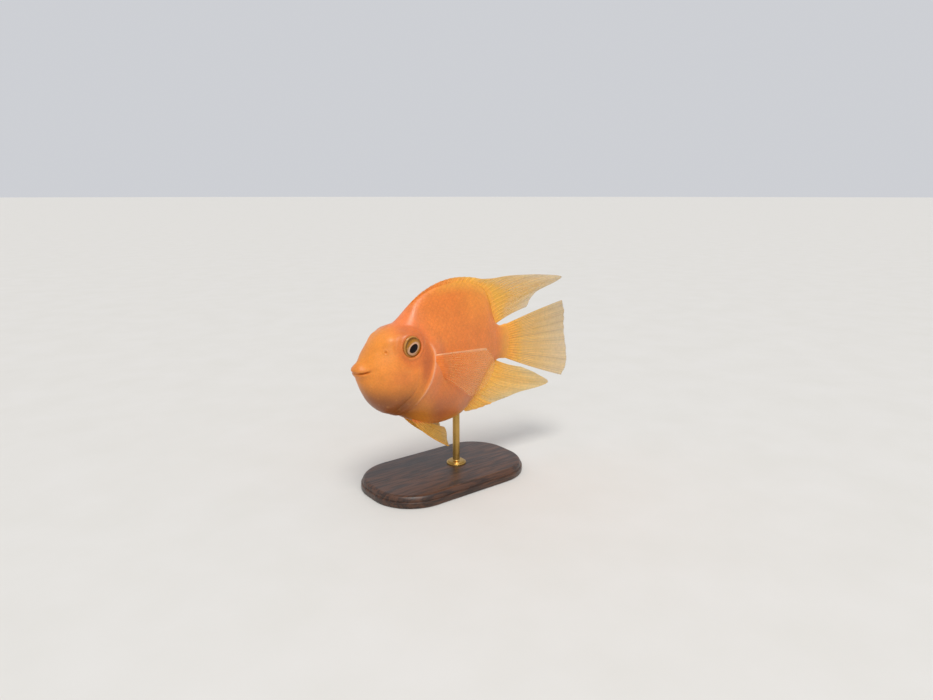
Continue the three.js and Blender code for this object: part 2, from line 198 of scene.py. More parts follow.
def sections(u):
    """The sections at u ribs from the snout. Past the snout top and bottom change places."""
    first = RIBS[1][[2, 3, 0, 1, 4, 5, 6, 7]] * [1, 1, 1, 1, -1, 1, 1, 1]
    last = RIBS[-1].copy()
    last[:5] = 2 * RIBS[-1][:5] - RIBS[-2][:5]
    return along(np.vstack([first, RIBS, last]), u)


def loft(u, angle):
    """Points of the smooth body: angle 0 is the back, a quarter turn its right side."""
    s = sections(u)
    up = np.cos(angle)
    out = np.sin(angle)
    width = s[..., 4] * np.sign(out) * np.abs(out) ** s[..., 7]
    width = width * (1 - s[..., 5] * up - s[..., 6] * up**2)
    x = (s[..., 0] + s[..., 2]) / 2 + (s[..., 0] - s[..., 2]) / 2 * up
    z = (s[..., 1] + s[..., 3]) / 2 + (s[..., 1] - s[..., 3]) / 2 * up
    return np.stack([x, width, z], -1)


def grid_normals(p):
    """Outward normals of a grid of rings by sides, closed round the sides."""
    along = np.gradient(p, axis=0)
    around = (np.roll(p, -1, 1) - np.roll(p, 1, 1)) / 2
    n = np.cross(along, around)
    return n / np.maximum(np.linalg.norm(n, axis=-1, keepdims=True), 1e-9)


def mouth_line(x):
    """Height of the mouth's slit, which rises to its corners."""
    return -4.4 + 0.03 * x**2


def mouth_relief(x, z):
    """Plump lips round a short slit, under the upper lip's nub."""
    off = z - mouth_line(x)
    out = -1.3 * hill(off, 0.5) * (0.35 + 0.65 * smooth(0.6, 3.0, x)) * fall(5.4, 8.4, x)
    out += 0.5 * hill(off - 1.7, 1.3) * fall(4.0, 9.0, x)
    out += 0.35 * hill(off + 1.5, 1.2) * fall(3.5, 8.0, x)
    out -= 0.35 * hill(off - 5.2, 1.7) * smooth(0.5, 4.0, x) * fall(4.0, 10.0, x)
    out -= 0.3 * hill(off + 4.3, 1.5) * smooth(0.5, 4.0, x) * fall(4.5, 9.0, x)
    out -= 0.35 * hill(np.hypot(x - 8.0, z + 2.5), 1.3)
    fold, share = line_distance(x, z, [(9.4, 0.5), (10.8, -4.0), (11.6, -9), (13.5, -14)], 16)
    out -= 0.25 * hill(fold, 1.2) * smooth(0.0, 0.3, share) * fall(0.5, 1.0, share)
    return out


def gill_relief(x, z):
    """The soft edge of the cheek bone, the folds under it, and the gill cover over the shoulder."""
    cheek, share = line_distance(x, z, CHEEK_LINE)
    fade = smooth(0.02, 0.2, share) * fall(0.7, 0.98, share)
    out = -0.35 * hill(cheek - 0.4, 1.5) * fade
    out += 0.4 * hill(cheek + 3.6, 3.2) * fade
    gill, share = line_distance(x, z, GILL_LINE)
    folds = smooth(-14, -8, gill) * fall(-2.5, -1.0, gill) * smooth(0.55, 0.7, share)
    out += 0.07 * np.cos(gill * 2.2) * folds
    fade = smooth(0.2, 0.38, share)
    out += 0.6 * smooth(-6.0, -0.8, gill) * fall(-0.5, 0.5, gill) * fade
    out -= 1.1 * smooth(-0.5, 0.5, gill) * np.exp(-np.maximum(gill, 0) / 2.6) * fade
    return out


def head_relief(p):
    """How far the skin stands out of the smooth loft, along its normal."""
    x, y, z = p[..., 0], np.abs(p[..., 1]), p[..., 2]
    out = mouth_relief(x, z) + gill_relief(x, z)
    nostril = np.hypot(x - NOSTRIL[0], z - NOSTRIL[1])
    out += 0.25 * hill(nostril - 1.15, 0.45) - 1.0 * hill(nostril, 0.6)
    for px, pz in PORES:
        out -= 0.16 * hill(np.hypot(x - px, z - pz), 0.45)
    # ridge over each eye
    ridge = np.hypot((x - EYE[0]) / 1.15, z - EYE[2])
    above = smooth(-2.0, 6.0, z - EYE[2])
    out += 0.7 * hill(ridge - 9.4, 2.6) * above * smooth(6.0, 12.0, y)
    # brow between eye and forehead
    out += 1.2 * hill(np.hypot(x - 20.5, z - 15.5), 5.0) * smooth(4.0, 9.0, y)
    return out


def eye_sockets(p):
    """Moves skin near each eye into the rim's plane, and what lies inside the rim into the socket."""
    x, y, z = p[..., 0] - EYE[0], np.abs(p[..., 1]), p[..., 2] - EYE[2]
    flank = smooth(6.0, 11.0, y)
    away = np.maximum(np.hypot(x, z), 0.01)
    # just outside the rim the rings of points draw closer to it
    near = np.clip((away - EYE_RIM) / 1.5, 0, 1)
    closer = mix(away, EYE_RIM + 1.5 * near**2.2, flank)
    drawn = np.where((away > EYE_RIM) & (near < 1), closer / away, 1.0)
    x, z, away = x * drawn, z * drawn, away * drawn
    plane = EYE_RIM_OUT + 0.08 * (x - z)
    held = fall(EYE_RIM + 0.6, EYE_RIM + 6.0, away) * flank
    out = mix(y, plane, held)
    out += 0.4 * hill(away - EYE_RIM - 0.7, 0.75) * flank
    out -= 0.3 * hill(away - EYE_RIM - 2.8, 0.9) * flank
    inside = np.maximum(EYE_RIM - away, 0)
    out -= 0.9 * inside**2 / (inside + 0.6) * flank
    spread = np.where((inside > 0) & (y > 8), EYE_RIM / away, 1.0)
    return np.stack([EYE[0] + x * spread, np.sign(p[..., 1]) * out, EYE[2] + z * spread], -1)


def skin_grid():
    """Rings by sides of points in the fish's frame, with u and angle of each."""
    u = [rib + np.arange(n) / n for rib, n in enumerate(RINGS_PER_RIB)]
    u = np.concatenate([*u, [len(RINGS_PER_RIB)]])
    u[0] = 0.004
    even = full_turn(SKIN_SIDES)
    # closer together at the height of the eyes
    angle = even + 0.26 * np.sin(2 * even)
    uu, aa = np.meshgrid(u, angle, indexing="ij")
    p = loft(uu, aa)
    p = p + grid_normals(p) * (head_relief(p) - SCALE_COAT)[..., None]
    rim = np.hypot(p[..., 0] - EYE[0], p[..., 2] - EYE[2]) - EYE_RIM
    eased = 0.8 * hill(rim - 0.3, 1.1)[..., None] * (np.abs(p[..., 1:2]) > 10)
    p = eye_sockets(p)
    # evens out the fold of each rim
    for _ in range(4):
        about = (np.roll(p, 1, 0) + np.roll(p, -1, 0) + np.roll(p, 1, 1) + np.roll(p, -1, 1)) / 4
        p = mix(p, about, eased)
    # the flesh goes on over the tail fin's roots, thinning as it goes
    share = np.linspace(0.1, 1.0, 10)[:, None]
    sleeve = np.repeat(p[-1:], len(share), 0)
    x, y, z = np.moveaxis(sleeve, -1, 0)
    x += TAIL_SLEEVE * share * (1 + 0.25 * np.cos(z * 1.9)) * (1 - 0.35 * np.abs(z) / 13)
    y *= 1 - 0.75 * share**1.5
    z *= 1 - 0.05 * share
    return np.concatenate([p, sleeve])


SKIN = skin_grid()
SKIN_NORMAL = grid_normals(SKIN)


# Colours, from a few named tones


def tone(code):
    """A hex colour as linear light."""
    c = np.array([int(code[i : i + 2], 16) for i in (1, 3, 5)]) / 255
    return np.where(c <= 0.04045, c / 12.92, ((c + 0.055) / 1.055) ** 2.4)


def rgba(code):
    return (*tone(code), 1.0)


AMBER = tone("#e88c2c")
CHEEK = tone("#dc7a34")
LIP = tone("#c4722a")
# painted shade in the mouth's slit
MOUTH_SLIT_SHADE = tone("#a8501c")
NAPE = tone("#ea7c42")
FLANK = tone("#ec8030")
BACK = tone("#ee7e28")
# pinkish belly tone, darkened in part as painted shade of the underside
BREAST_WITH_PAINTED_SHADE = tone("#b0603a")
# painted shade: the throat and the chin are darkened where shade falls under the head
THROAT_PAINTED_SHADE = tone("#a66020")
CHIN_PAINTED_SHADE = tone("#8a4a1c")
ORBIT = tone("#cc6828")
# painted shade in the hollow of the gill cover, behind the cheek ridge
OPERCLE_PAINTED_SHADE = tone("#bc5824")
# pale gill membrane along the cover's edge, partly a painted highlight on its rim
GILL_EDGE_AND_HIGHLIGHT = tone("#fcc09a")
SHOULDER = tone("#c8744a")
ROOT_GOLD = tone("#f4a83a")
FIN_SPINE = tone("#f2b454")
SOFT_FIN_TONES = (tone("#f0a83e"), tone("#dfaa5e"), tone("#d2b48c"))
ANAL_TONES = (tone("#fcac42"), tone("#f6b65e"), tone("#e8c284"))
PELVIC_TONES = (tone("#e8a038"), tone("#d99c3c"), tone("#cf9c4c"))
PECTORAL_TONES = (tone("#e68436"), tone("#e8924a"), tone("#eaa868"))
PECTORAL_EDGE = tone("#f4b88a")


def painted(rgb, layers):
    """Tones laid over each other, each by its share."""
    for colour, share in layers:
        rgb = mix(rgb, colour, np.clip(share, 0, 1)[..., None])
    return rgb


def edge_height(x, z):
    """Height of the body's upper or lower edge over its axis at x."""
    top = np.interp(x, RIBS[:, 0], RIBS[:, 1])
    bottom = np.interp(x, RIBS[:, 2], -RIBS[:, 3])
    return np.where(z > 0, top, bottom)


def body_colour(p):
    """The fish's markings at points of the body, for the skin and the scales alike, with painted shade
    under the head, on the belly, in the gill cover's hollow and in the mouth's slit, and a painted
    highlight on the gill edge.
    """
    x, z = p[..., 0], p[..., 2]
    keel = smooth(0.82, 0.99, np.abs(z) / np.maximum(edge_height(x, z), 1))
    gill, share = line_distance(x, z, GILL_LINE, 30)
    cover = smooth(0.3, 0.42, share) * fall(0.62, 0.8, share)
    # along the mouth's slit, where shade is painted
    slit = hill(z - mouth_line(x), 0.8) * smooth(1.0, 3.0, x) * fall(6.0, 9.0, x)
    cheek, _ = line_distance(x, z, CHEEK_LINE, 30)
    # where shade is painted in the gill cover's hollow, between the cheek ridge and the gill edge
    opercle_shade = smooth(-1.0, 4.0, cheek) * fall(-4.0, -1.5, gill) * hill(z + 3, 13)
    rear = smooth(70, 100, x)
    layers = [
        (BACK, smooth(14, 40, z)),
        # pinkish belly, darker in part as painted shade of the underside
        (BREAST_WITH_PAINTED_SHADE, 0.95 * smooth(10, 38, -z) * (1 - 0.75 * smooth(46, 74, x))),
        (AMBER, fall(-7, 9, x - 29 + 0.35 * (z - 18))),
        (NAPE, 0.8 * hill(x - 38 + 0.2 * (z - 18), 11) * smooth(2, 16, z)),
        (CHEEK, 0.8 * hill(np.hypot((x - 27) / 1.2, z + 8), 10)),
        # painted shade under the head, on the throat and the chin
        (THROAT_PAINTED_SHADE, fall(-26, -6, z) * fall(26, 42, x)),
        (CHIN_PAINTED_SHADE, 0.9 * fall(-32, -12, z) * fall(24, 48, x)),
        (ORBIT, 0.75 * hill(np.hypot(x - EYE[0] - 2, z - EYE[2] + 1) - 9, 4.5)),
        (OPERCLE_PAINTED_SHADE, 0.7 * opercle_shade),
        (LIP, 0.6 * hill(np.hypot(x - 1, z + 3.5), 6)),
        # painted shade in the slit
        (MOUTH_SLIT_SHADE, 0.6 * slit),
        (SHOULDER, 0.55 * smooth(0.2, 1.5, gill) * fall(5.0, 12.0, gill) * cover),
        # pale membrane and painted highlight along the gill edge
        (GILL_EDGE_AND_HIGHLIGHT, 0.9 * hill(gill + 0.1, 1.0) * cover),
        (ROOT_GOLD, 0.35 * rear * smooth(10, 40, z)),
        (ROOT_GOLD, 0.7 * keel * smooth(50, 80, x)),
        (ROOT_GOLD, 0.7 * smooth(114, 126, x)),
    ]
    return painted(FLANK, layers)


# Making objects


def make_mesh(name, points, faces, sharp=None):
    mesh = bpy.data.meshes.new(name)
    points = np.asarray(points, np.float32).reshape(-1, 3)
    faces = np.asarray(faces, np.int32)
    mesh.vertices.add(len(points))
    mesh.vertices.foreach_set("co", points.ravel())
    mesh.loops.add(faces.size)
    mesh.loops.foreach_set("vertex_index", faces.ravel())
    mesh.polygons.add(len(faces))
    mesh.polygons.foreach_set("loop_start", np.arange(0, faces.size, faces.shape[1], dtype=np.int32))
    mesh.update(calc_edges=True)
    mesh.polygons.foreach_set("use_smooth", np.ones(len(faces), bool))
    if sharp:
        mesh.set_sharp_from_angle(angle=math.radians(sharp))
    piece = bpy.data.objects.new(name, mesh)
    bpy.context.scene.collection.objects.link(piece)
    return piece


def add_colour(piece, rgb, alpha=1.0):
    values = np.ones((len(piece.data.vertices), 4), np.float32)
    values[:, :3] = np.asarray(rgb).reshape(-1, 3)
    values[:, 3] = np.ravel(alpha)
    layer = piece.data.color_attributes.new("tint", "FLOAT_COLOR", "POINT")
    layer.data.foreach_set("color", values.ravel())


def add_number(piece, name, values):
    layer = piece.data.attributes.new(name, "FLOAT", "POINT")
    layer.data.foreach_set("value", np.asarray(values, np.float32).ravel())


def add_map(piece, corners_uv):
    """A UV map named OFBake from one (u, v) for each face corner."""
    layer = piece.data.uv_layers.new(name="OFBake")
    layer.data.foreach_set("uv", np.asarray(corners_uv, np.float32).ravel())


def settle(piece, material, slot, *nodes):
    piece.data.materials.append(material)
    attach(piece, "root")
    if nodes:
        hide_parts(*nodes)


def ring_faces(rings, sides, closed=True):
    """Quads between rings of points, as corner numbers, facing out for an outward-turning ring."""
    last = sides if closed else sides - 1
    ring, side = np.meshgrid(np.arange(rings - 1), np.arange(last), indexing="ij")
    after = (side + 1) % sides
    low, high = ring * sides, (ring + 1) * sides
    return np.stack([low + side, high + side, high + after, low + after], -1).reshape(-1, 4)


def plate_faces(rings, sides):
    """Quads of two sheets of points, the second under the first, and of the wall round them."""
    sheet = ring_faces(rings, sides, closed=False)
    under = rings * sides
    rim = [np.arange(sides), np.arange(1, rings) * sides + sides - 1]
    rim += [(rings - 1) * sides + np.arange(sides - 2, -1, -1), np.arange(rings - 2, 0, -1) * sides]
    rim = np.concatenate(rim)
    after = np.roll(rim, -1)
    wall = np.stack([rim, after, after + under, rim + under], -1)
    return np.vstack([sheet, sheet[:, ::-1] + under, wall])


def facing_out(points, faces):
    """The quads of a closed mesh, turned over if its volume says that they face in."""
    a, b, c, d = (points[faces[:, k]] for k in range(4))
    volume = (np.cross(a, b) * c).sum() + (np.cross(a, c) * d).sum()
    return faces if volume > 0 else faces[:, [0, 3, 2, 1]]


def capped_faces(rings, sides, turned=False):
    """Triangles of rings of points and of a cap at each end, whose middle points come last."""
    quads = ring_faces(rings, sides)
    loop = np.arange(sides)
    after = (loop + 1) % sides
    last = (rings - 1) * sides
    middle = np.full(sides, rings * sides)
    first_cap = np.stack([middle, loop, after], -1)
    last_cap = np.stack([middle + 1, last + after, last + loop], -1)
    caps = np.vstack([first_cap, last_cap])
    if turned:
        quads, caps = quads[:, ::-1], caps[:, ::-1]
    return np.vstack([quads[:, [0, 1, 2]], quads[:, [0, 2, 3]], caps])


# Materials


class Nodes:
    """A short way to build a material's node tree."""

    def __init__(self, name):
        self.material = bpy.data.materials.new(name)
        self.material.use_nodes = True
        self.tree = self.material.node_tree
        self.shader = self.tree.nodes["Principled BSDF"]

    def add(self, kind, inputs=None, **settings):
        n = self.tree.nodes.new("ShaderNode" + kind)
        for key, value in settings.items():
            setattr(n, key, value)
        for key, value in (inputs or {}).items():
            self.feed(n.inputs[key], value)
        return n

    def feed(self, socket, value):
        if isinstance(value, bpy.types.NodeSocket):
            self.tree.links.new(value, socket)
        else:
            socket.default_value = value

    def finished(self, **values):
        """The material, with these values on its shader."""
        for key, value in values.items():
            self.feed(self.shader.inputs[key.replace("_", " ")], value)
        return self.material

    def noise(self, size, detail=3.0, roughness=0.55, stretch=(1, 1, 1)):
        """Noise whose features are about size metres across."""
        place = {"Vector": self.add("TexCoord").outputs["Object"], "Scale": stretch}
        inputs = {"Vector": self.add("Mapping", place).outputs["Vector"], "Scale": 1 / size}
        inputs |= {"Detail": detail, "Roughness": roughness}
        return self.add("TexNoise", inputs).outputs["Fac"]

    def span(self, value, low, high, to_low, to_high):
        inputs = {"Value": value, "From Min": low, "From Max": high}
        inputs |= {"To Min": to_low, "To Max": to_high}
        return self.add("MapRange", inputs).outputs["Result"]

    def maths(self, operation, *values):
        return self.add("Math", dict(enumerate(values)), operation=operation).outputs["Value"]

    def colour_mix(self, share, a, b, kind="MIX"):
        n = self.add("Mix", data_type="RGBA", blend_type=kind)
        self.feed(n.inputs[0], share)
        self.feed(n.inputs[6], a)
        self.feed(n.inputs[7], b)
        return n.outputs[2]

    def shaded(self, colour, *shades):
        """The colour made lighter or darker by these numbers."""
        for shade in shades:
            grey = self.add("CombineColor", dict.fromkeys(("Red", "Green", "Blue"), shade))
            colour = self.colour_mix(1.0, colour, grey.outputs["Color"], "MULTIPLY")
        return colour

    def bump(self, height, distance, strength=1.0):
        inputs = {"Height": height, "Distance": distance, "Strength": strength}
        return self.add("Bump", inputs).outputs["Normal"]

    def own(self, name):
        return self.add("Attribute", attribute_name=name)


def living_skin(name, painted_rim_shade):
    """Moist orange skin: clouds, fine pigment grain and paler freckles over the mesh's own tint, and on
    the scales painted shade along their free edges.
    """
    m = Nodes(name)
    cloud = m.span(m.noise(0.012), 0.3, 0.7, 0.88, 1.08)
    grain = m.span(m.noise(0.0011, 4.0), 0.3, 0.7, 0.92, 1.08)
    colour = m.shaded(m.own("tint").outputs["Color"], cloud, grain)
    freckle = m.span(m.noise(0.0035, 2.0), 0.6, 0.75, 0.0, 0.14)
    colour = m.colour_mix(freckle, colour, rgba("#f4b05a"))
    # painted shade along the scales' free edges, where they overhang the next ones
    if painted_rim_shade:
        edge = m.maths("MULTIPLY", m.own("rim").outputs["Fac"], painted_rim_shade)
        colour = m.colour_mix(edge, colour, rgba("#b04a18"))
    return m.finished(
        Base_Color=colour,
        Roughness=m.span(m.noise(0.004), 0.3, 0.7, 0.33, 0.45),
        Subsurface_Weight=0.12,
        Subsurface_Radius=(0.004, 0.0015, 0.0006),
        Subsurface_Scale=1.0,
        Coat_Weight=0.06,
        Coat_Roughness=0.3,
        Normal=m.bump(m.noise(0.0006, 2.0), 0.00004),
    )


def fin_material():
    """Fin colours and clearness come from the mesh. Fine joints cross the rays."""
    m = Nodes("fin_membrane")
    tint = m.own("tint")
    mottle = m.span(m.noise(0.002), 0.3, 0.7, 0.9, 1.1)
    along = m.maths("SINE", m.maths("MULTIPLY", m.own("along").outputs["Fac"], 560.0))
    knots = m.maths("MULTIPLY", along, m.own("ray").outputs["Fac"])
    return m.finished(
        Base_Color=m.shaded(tint.outputs["Color"], mottle),
        Alpha=tint.outputs["Alpha"],
        Roughness=m.span(m.noise(0.003), 0.3, 0.7, 0.36, 0.5),
        Subsurface_Weight=0.3,
        Subsurface_Radius=(0.004, 0.0025, 0.001),
        Subsurface_Scale=1.0,
        Coat_Weight=0.1,
        Coat_Roughness=0.25,
        Normal=m.bump(knots, 0.000018),
    )


def eye_material():
    """A wet eye: the iris is rough and fibrous under a clear smooth front."""
    m = Nodes("eye_gloss")
    fibres = m.span(m.noise(0.0006, 4.0), 0.3, 0.7, 0.8, 1.2)
    return m.finished(
        Base_Color=m.shaded(m.own("tint").outputs["Color"], fibres),
        Roughness=m.span(m.noise(0.001), 0.3, 0.7, 0.22, 0.32),
        Coat_Weight=0.42,
        Coat_Roughness=0.03,
        Coat_IOR=1.35,
        Specular_IOR_Level=0.06,
        Normal=m.bump(m.noise(0.0005, 3.0), 0.00006),
    )


def walnut_material():
    m = Nodes("oiled_walnut")
    rings = m.noise(0.016, 5.0, 0.6, (0.12, 1.0, 1.0))
    wave = m.maths("SINE", m.maths("MULTIPLY", rings, 60.0))
    grain = m.span(wave, -1.0, 1.0, 0.0, 1.0)
    colour = m.colour_mix(grain, rgba("#2e1b11"), rgba("#54331f"))
    fibre = m.noise(0.0009, 4.0, 0.6, (0.03, 1.0, 1.0))
    pores = m.span(fibre, 0.35, 0.5, 0.62, 1.0)
    return m.finished(
        Base_Color=m.shaded(colour, pores),
        Roughness=m.span(fibre, 0.3, 0.7, 0.5, 0.34),
        Coat_Weight=0.15,
        Coat_Roughness=0.3,
        Normal=m.bump(fibre, 0.00008),
    )


def brass_material():
    m = Nodes("satin_brass")
    lines = m.noise(0.0006, 3.0, 0.6, (1.0, 1.0, 12.0))
    stain = m.noise(0.008, 3.0)
    colour = m.colour_mix(m.span(stain, 0.35, 0.75, 0.0, 0.6), rgba("#c9a35c"), rgba("#9a7436"))
    return m.finished(
        Base_Color=m.shaded(colour, m.span(lines, 0.3, 0.7, 0.93, 1.05)),
        Metallic=1.0,
        Roughness=m.span(lines, 0.3, 0.7, 0.24, 0.38),
        Normal=m.bump(lines, 0.00001),
    )


# Skin


def build_skin(material):
    rings, sides = SKIN.shape[:2]
    points = np.vstack([SKIN.reshape(-1, 3), SKIN[0].mean(0), SKIN[-1].mean(0)])
    triangles = capped_faces(rings, sides)
    piece = make_mesh("skin", to_row(points), triangles)
    add_colour(piece, body_colour(points))

    # an unwrap of the body: rings along, sides up, with the last side's faces closing at 1
    v = (triangles % sides) / sides
    v = np.where((v == 0) & (v.max(1, keepdims=True) > 0.5), 1.0, v)
    u = (triangles // sides) / (rings - 1)
    ends = triangles >= rings * sides
    u = np.where(ends, np.where(triangles == rings * sides, 0.0, 1.0), u)
    v = np.where(ends, 0.5, v)
    add_map(piece, np.stack([u, v], -1))
    nodes = ["head", "lower_jaw", "gill_cover_left", "gill_cover_right", "trunk", "tail_root"]
    settle(piece, material, "skin", *nodes)


# Scales


class Flank:
    """The right half of the skin laid out by distance along the side (s) and up from mid height (q)."""

    STEP = 0.3
    REACH = 66.0

    def __init__(self):
        half = SKIN_SIDES // 2
        rings = len(SKIN)
        p = SKIN[:, : half + 1]
        n = SKIN_NORMAL[:, : half + 1]
        middle = SKIN_SIDES // 4
        steps = np.linalg.norm(np.diff(p, axis=1), axis=-1)
        up = np.concatenate([np.zeros((rings, 1)), np.cumsum(steps, 1)], 1)
        up = up[:, middle : middle + 1] - up
        self.q = np.arange(-self.REACH, self.REACH + self.STEP, self.STEP)
        self.s = np.concatenate([[0], np.cumsum(np.linalg.norm(np.diff(p[:, middle], axis=0), axis=-1))])
        self.low, self.high = up[:, -1], up[:, 0]
        self.table = np.empty((rings, len(self.q), 7))
        for i in range(rings):
            order = up[i, ::-1]
            for c in range(3):
                self.table[i, :, c] = np.interp(self.q, order, p[i, ::-1, c])
                self.table[i, :, 3 + c] = np.interp(self.q, order, n[i, ::-1, c])
            self.table[i, :, 6] = np.interp(self.q, order, np.arange(half, -1, -1) / SKIN_SIDES)

    def at(self, s, q):
        """Point, normal and place on the skin's unwrap at s, q."""
        rings = len(self.s)
        i = np.interp(s, self.s, np.arange(rings))
        j = np.clip((q + self.REACH) / self.STEP, 0, len(self.q) - 1.001)
        i0 = np.clip(i.astype(int), 0, rings - 2)
        j0 = j.astype(int)
        fi, fj = (i - i0)[..., None], (j - j0)[..., None]
        a = mix(self.table[i0, j0], self.table[i0, j0 + 1], fj)
        b = mix(self.table[i0 + 1, j0], self.table[i0 + 1, j0 + 1], fj)
        found = mix(a, b, fi)
        normal = found[..., 3:6]
        normal = normal / np.linalg.norm(normal, axis=-1, keepdims=True)
        return found[..., :3], normal, np.stack([i / (rings - 1), found[..., 6]], -1)

    def inside(self, s, q, margin):
        low, high = np.interp(s, self.s, self.low), np.interp(s, self.s, self.high)
        return (q < high - margin) & (q > low + margin)

    def within(self, s, q, margin=0.3, ease=0.8):
        """Presses q in where it would cross the keels, easing up to a margin off them."""
        for edge, sign in ((self.high, 1), (self.low, -1)):
            limit = sign * np.interp(s, self.s, edge) - margin - ease
            over = np.maximum(sign * q - limit, 0)
            q = sign * (np.minimum(sign * q, limit) + ease * (1 - np.exp(-over / ease)))
        return q


def pitch_along(s):
    """Distance between scales in a row: small on the nape and gill cover, and on the tail root."""
    return SCALE_PITCH[0] * (0.68 + 0.32 * smooth(48, 66, s)) * (1 - 0.3 * smooth(100, 124, s))


def pitch_across(q):
    return SCALE_PITCH[1] * (1 - 0.3 * smooth(22, 52, np.abs(q)))


def places_by_pitch(start, end, pitch):
    """Places from start to end whose distances follow the pitch at each place."""
    places = [start]
    while places[-1] < end:
        places.append(places[-1] + float(pitch(places[-1])))
    return np.array(places)


def scale_roots():
    """The place s, q of every scale's root on one side."""
    upper = places_by_pitch(0, 60, pitch_across)
    found = []
    for number, q in enumerate(np.concatenate([-upper[:0:-1], upper])):
        along = places_by_pitch(14.0, 132.0, pitch_along)
        along = along + 0.5 * (number % 2) * pitch_along(along)
        found.append(np.stack([along, np.full(len(along), q)], -1))
    s, q = np.concatenate(found).T
    return s, q


def scale_strength(x, z):
    """How much the scales show: not at all on snout, forehead and gill edge, fully on the flank."""
    gill, _ = line_distance(x, z, GILL_LINE)
    cheek, _ = line_distance(x, z, CHEEK_LINE)
    eye = np.hypot(x - EYE[0], z - EYE[2])
    trunk = smooth(0.3, 5.0, gill)
    nape = smooth(40, 48, x - 0.1 * (z - 25)) * smooth(16, 24, z)
    cover = smooth(1.5, 4.0, cheek) * fall(-3.2, -2.2, gill)
    strength = np.maximum.reduce([trunk, nape, 0.8 * cover]) * smooth(9.5, 14.0, eye)
    return strength * (1 - 0.5 * smooth(112, 124, x))


def build_scales(flank, side, word, material):
    """The scales of one side: closed thin plates, each rising from under its neighbours."""
    rows, columns = SCALE_MESH
    s0, q0 = scale_roots()
    length = SCALE_LENGTH * pitch_along(s0)
    width = pitch_across(q0) * 1.02
    root, near_tip, tip = (flank.at(s0 + share * length, q0)[0] for share in (0.0, 0.8, 1.0))
    strength = scale_strength(near_tip[:, 0], near_tip[:, 2])
    root_gill, _ = line_distance(root[:, 0], root[:, 2], GILL_LINE)
    tip_gill, gill_share = line_distance(tip[:, 0], tip[:, 2], GILL_LINE)
    crosses = (root_gill < 0.8) & (tip_gill > -1.6) & (gill_share > 0.14)
    whole = flank.inside(s0, q0, 0.3) & flank.inside(s0 + length, q0, 0.3) & (near_tip[:, 0] < 128.5)
    keep = (strength > 0.22) & ~crosses & whole
    s0, q0, length, width, strength = (v[keep][:, None, None] for v in (s0, q0, length, width, strength))
    rng = np.random.default_rng(5)
    shift = rng.uniform(-0.04, 0.04, (len(s0), 2, 1, 1))
    turn = rng.uniform(-0.05, 0.05, (len(s0), 1, 1))

    # a runs from the root to the free edge, b across
    across = np.sin(np.linspace(-0.5, 0.5, columns) * math.pi)
    reach = 0.5 + 0.5 * np.sqrt(np.maximum(1 - across**2, 0)) ** 0.9
    a = (np.linspace(0, 1, rows) ** 0.8)[:, None] * reach
    b = np.broadcast_to(across, a.shape)
    s = s0 + length * (a + shift[:, 0] + turn * b)
    q = flank.within(s, q0 + width * (b + shift[:, 1]))
    height = mix(0.025, SCALE_HEIGHT, strength) - SCALE_RISE * length * (1 - a) - 0.05 * b**2
    # fine growth rings, a rolled free edge, and a tube on the scales of the lateral line
    size = length / (SCALE_LENGTH * SCALE_PITCH[0])
    height = height + 0.012 * np.sin(a * 38) * size - 0.03 * smooth(0.9, 1.0, a / reach)
    tube = hill(b, 0.16) * smooth(0.45, 0.6, a) * fall(0.85, 0.95, a)
    height = height + 0.13 * tube * ((np.abs(q0 - LATERAL_LINE) < 1.9) & (s0 > 45))
    point, normal, _ = flank.at(s, q)
    sheets = [point + normal * (height - depth)[..., None] for depth in (0.0, SCALE_THICKNESS)]
    sheets = np.stack(sheets, 1) * [1, side, 1]
    one = plate_faces(rows, columns)
    if side > 0:
        one = one[:, ::-1]

    # the free edge, where the skin material paints shade
    free = smooth(0.72, 1.0, a / reach) * smooth(0.3, 0.6, a) * strength
    uv = flank.at(s0, q0)[2] + np.stack([a - 0.5, b / 2], -1) * BAKE_PATCH
    if side < 0:
        uv[..., 1] = 1 - uv[..., 1]
    free, uv = np.stack([free, free], 1), np.stack([uv, uv], 1)

    front = s0.ravel() < SCALES_PART_AT
    for part, chosen in (("front", front), ("rear", ~front)):
        starts = np.arange(chosen.sum()) * 2 * rows * columns
        faces = (one + starts[:, None, None]).reshape(-1, 4)
        points = sheets[chosen].reshape(-1, 3)
        piece = make_mesh(f"scales_{word}_{part}", to_row(points), faces, sharp=50)
        add_colour(piece, body_colour(points))
        add_number(piece, "rim", free[chosen])
        add_map(piece, uv[chosen].reshape(-1, 2)[faces.ravel()])
        settle(piece, material, "skin")


# Fins

BRANCHES = 16  # places across a ray that differ in length and brightness
FIN_LOOK = {
    "pleat": 0.2,  # how far the rays lie to either side
    "buried": 5.0,  # where the rays stand out of the root's flesh
    "flesh": 9.0,  # how far the flesh reaches
    "skin": (1.5, 6.0),  # from where to where the body's colour gives way
    "root_tone": BACK,
    "spine": FIN_SPINE,
    "front": 0.0,  # share of the back's colour on the front part
    "edge": 0.0,  # share of the pale leading edge
    "tender": (-1.0, 0.0),  # from where to where along the fin the paler tones come in
    "clear": 0.5,  # least share of light that the membrane stops
    "rays": (1.0, 0.76),  # and the rays, at root and tip
    "cut": 1.0,  # depth of the frayed margin
}


def swaying(size, count, start, fixed):
    return lambda s, r: size * r**2 * (s + fixed) * np.sin(math.pi * (count * s + start))


